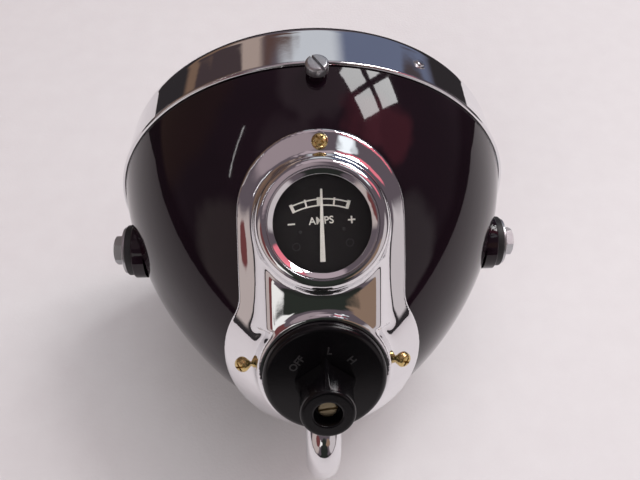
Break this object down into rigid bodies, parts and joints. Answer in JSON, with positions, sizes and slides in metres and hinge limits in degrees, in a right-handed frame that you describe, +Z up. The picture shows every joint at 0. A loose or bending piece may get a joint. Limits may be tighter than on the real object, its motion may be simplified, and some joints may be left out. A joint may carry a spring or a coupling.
{
  "type": "motorcycle headlight",
  "caption": "Round motorcycle headlight: black deep-bowl shell, chrome rim, and a chrome back panel with an ammeter and a rotary lighting switch.",
  "frame": {"origin": "Midway between the two side bolts, on the lamp's own axis: the line the lamp is hung on and tilts about.", "axes": "+X to the rider's right along the side bolts, +Y the way the lamp shines, +Z up."},
  "size_m": [0.2074, 0.1819, 0.2074],
  "materials": {
    "black_paint": "deep black gloss enamel, polished",
    "chrome": "bright chrome plate",
    "zinc": "bright zinc plate",
    "yellow_zinc": "yellow passivated zinc",
    "brass": "plain brass, lightly dulled",
    "black_moulding": "moulded black phenolic, satin gloss",
    "black_washer": "black spacer, satin",
    "dial_black": "matt black dial paint",
    "needle_white": "white paint",
    "meter_glass": "clear window glass",
    "lens_glass": "clear pressed glass",
    "bulb_glass": "clear bulb glass",
    "reflector_silver": "silvered and lacquered",
    "seal_rubber": "black rubber",
    "fibre_board": "brown insulating board"
  },
  "bodies": {
    "headlamp": {"shell": "black_paint", "rim": "chrome", "rim_rivets": "chrome", "rim_screw": "chrome", "rim_screw_nut": "zinc", "lens": "lens_glass", "lens_seal": "seal_rubber", "reflector": "reflector_silver", "reflector_clips": "zinc", "main_bulb_holder": "zinc", "main_bulb_cap": "brass", "main_bulb_glass": "bulb_glass", "pilot_bulb_holder": "zinc", "pilot_bulb_cap": "brass", "pilot_bulb_glass": "bulb_glass", "panel": "chrome", "panel_screws": "yellow_zinc", "ammeter_bezel": "chrome", "ammeter_glass": "meter_glass", "ammeter_case": "zinc", "ammeter_dial": "dial_black", "ammeter_movement": "fibre_board", "ammeter_studs": "brass", "ammeter_nuts": "brass", "ammeter_strap": "zinc", "switch_cover": "black_moulding", "switch_base": "fibre_board", "switch_terminals": "brass", "side_spacer_left": "black_washer", "side_washer_left": "zinc", "side_bolt_left": "zinc", "side_nut_left": "zinc", "side_spacer_right": "black_washer", "side_washer_right": "zinc", "side_bolt_right": "zinc", "side_nut_right": "zinc"},
    "switch": {"switch_knob": "black_moulding", "switch_knob_screw": "brass", "switch_spindle": "brass", "switch_rotor": "fibre_board"},
    "needle": {"ammeter_needle": "needle_white", "ammeter_staff": "brass"}
  },
  "joints": [
    {"name": "switch_turn", "type": "hinge", "parent": "headlamp", "child": "switch", "pos_m": [0, -0.0896, 0.0359], "axis": [0, -0.8443, 0.5358], "range_deg": [-47, 52]},
    {"name": "needle_swing", "type": "hinge", "parent": "headlamp", "child": "needle", "pos_m": [0, -0.05327, 0.07594], "axis": [0, -0.5534, 0.8329], "range_deg": [-35, 35]}
  ]
}
